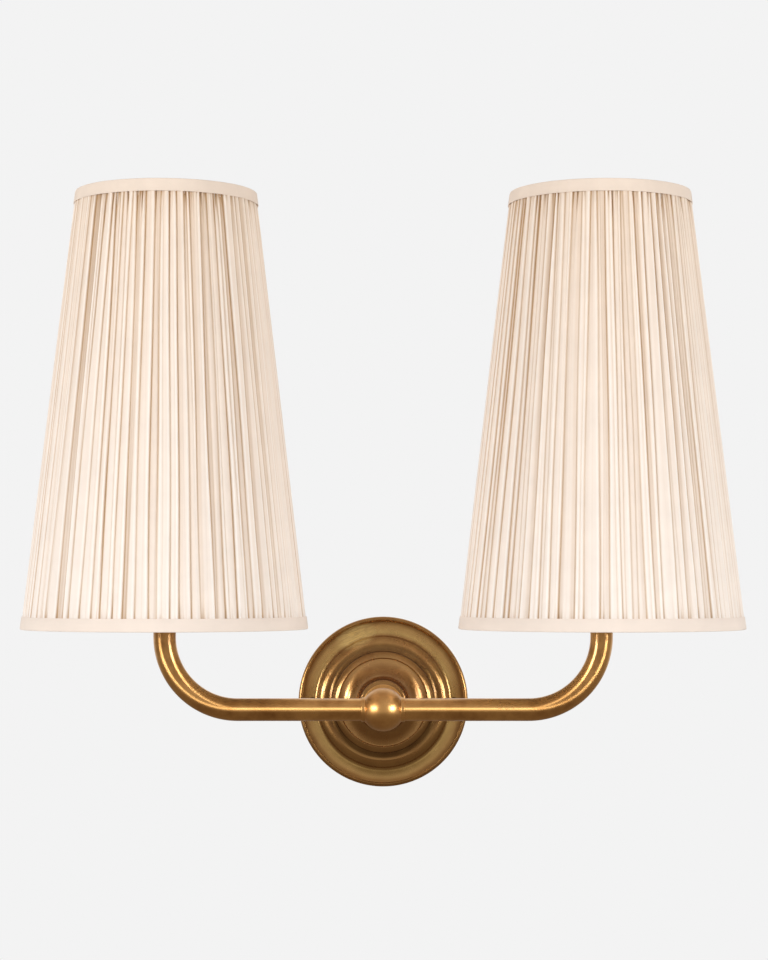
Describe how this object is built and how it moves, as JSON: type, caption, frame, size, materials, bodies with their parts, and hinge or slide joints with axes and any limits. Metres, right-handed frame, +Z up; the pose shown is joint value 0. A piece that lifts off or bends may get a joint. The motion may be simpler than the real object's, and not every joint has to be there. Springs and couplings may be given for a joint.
{
  "type": "double arm wall sconce",
  "caption": "Wall light: a spun round plate and turned ball carry two bent brass tubes, each with a lamp holder, candle bulb and tall pleated shade.",
  "frame": {"origin": "middle of the wall strap on the wall plane, at the centre of the round plate", "axes": "+X to the right as seen from the room, +Y into the wall, +Z up; the arms lie in the plane y = -0.088"},
  "size_m": [0.406, 0.1685, 0.3415],
  "materials": {
    "antique_brass": "satin antique",
    "plated_steel": "zinc plated",
    "brass_screws": "darkened",
    "moulded_holder": "moulded thermoset",
    "moulded_block": "moulded",
    "contact_brass": "bright",
    "lead_sheath": "clear gold pvc",
    "bulb_cap_metal": "bright",
    "opal_glass": "frosted",
    "pleated_cloth": "gathered cotton",
    "trim_tape": "woven tape",
    "stiff_lining": "laminated",
    "shade_wire": "white powder coat"
  },
  "bodies": {
    "fixture": {"backplate": "antique_brass", "wall_strap": "plated_steel", "plate_screws": "brass_screws", "earth_screw": "contact_brass", "terminal_block": "moulded_block", "stem": "antique_brass", "stem_pipe": "contact_brass", "stem_washer": "plated_steel", "stem_nut": "contact_brass", "centre_ball": "antique_brass", "left_arm_tube": "antique_brass", "left_holder_pipe": "contact_brass", "left_holder_cup": "antique_brass", "left_holder_base": "moulded_holder", "left_holder_sleeve": "moulded_holder", "left_socket_insert": "moulded_holder", "left_screw_shell": "contact_brass", "left_centre_contact": "contact_brass", "left_lead": "lead_sheath", "right_arm_tube": "antique_brass", "right_holder_pipe": "contact_brass", "right_holder_cup": "antique_brass", "right_holder_base": "moulded_holder", "right_holder_sleeve": "moulded_holder", "right_socket_insert": "moulded_holder", "right_screw_shell": "contact_brass", "right_centre_contact": "contact_brass", "right_lead": "lead_sheath"},
    "left_shade": {"left_shade_cover": "pleated_cloth", "left_shade_lining": "stiff_lining", "left_shade_lower_trim": "trim_tape", "left_shade_upper_trim": "trim_tape", "left_shade_lower_ring": "shade_wire", "left_shade_upper_ring": "shade_wire", "left_shade_carrier": "shade_wire"},
    "left_clamp_ring": {"left_shade_ring": "moulded_holder"},
    "left_bulb": {"left_bulb_cap": "bulb_cap_metal", "left_bulb_glass": "opal_glass"},
    "right_shade": {"right_shade_cover": "pleated_cloth", "right_shade_lining": "stiff_lining", "right_shade_lower_trim": "trim_tape", "right_shade_upper_trim": "trim_tape", "right_shade_lower_ring": "shade_wire", "right_shade_upper_ring": "shade_wire", "right_shade_carrier": "shade_wire"},
    "right_clamp_ring": {"right_shade_ring": "moulded_holder"},
    "right_bulb": {"right_bulb_cap": "bulb_cap_metal", "right_bulb_glass": "opal_glass"}
  },
  "joints": [
    {"name": "left_shade_turn", "type": "hinge", "parent": "fixture", "child": "left_shade", "pos_m": [-0.1225, -0.088, 0.1], "axis": [0, 0, 1], "continuous": true},
    {"name": "left_clamp_ring_turn", "type": "hinge", "parent": "fixture", "child": "left_clamp_ring", "pos_m": [-0.1225, -0.088, 0.1], "axis": [0, 0, 1], "continuous": true},
    {"name": "left_bulb_turn", "type": "hinge", "parent": "fixture", "child": "left_bulb", "pos_m": [-0.1225, -0.088, 0.1], "axis": [0, 0, 1], "continuous": true},
    {"name": "right_shade_turn", "type": "hinge", "parent": "fixture", "child": "right_shade", "pos_m": [0.1225, -0.088, 0.1], "axis": [0, 0, 1], "continuous": true},
    {"name": "right_clamp_ring_turn", "type": "hinge", "parent": "fixture", "child": "right_clamp_ring", "pos_m": [0.1225, -0.088, 0.1], "axis": [0, 0, 1], "continuous": true},
    {"name": "right_bulb_turn", "type": "hinge", "parent": "fixture", "child": "right_bulb", "pos_m": [0.1225, -0.088, 0.1], "axis": [0, 0, 1], "continuous": true}
  ]
}
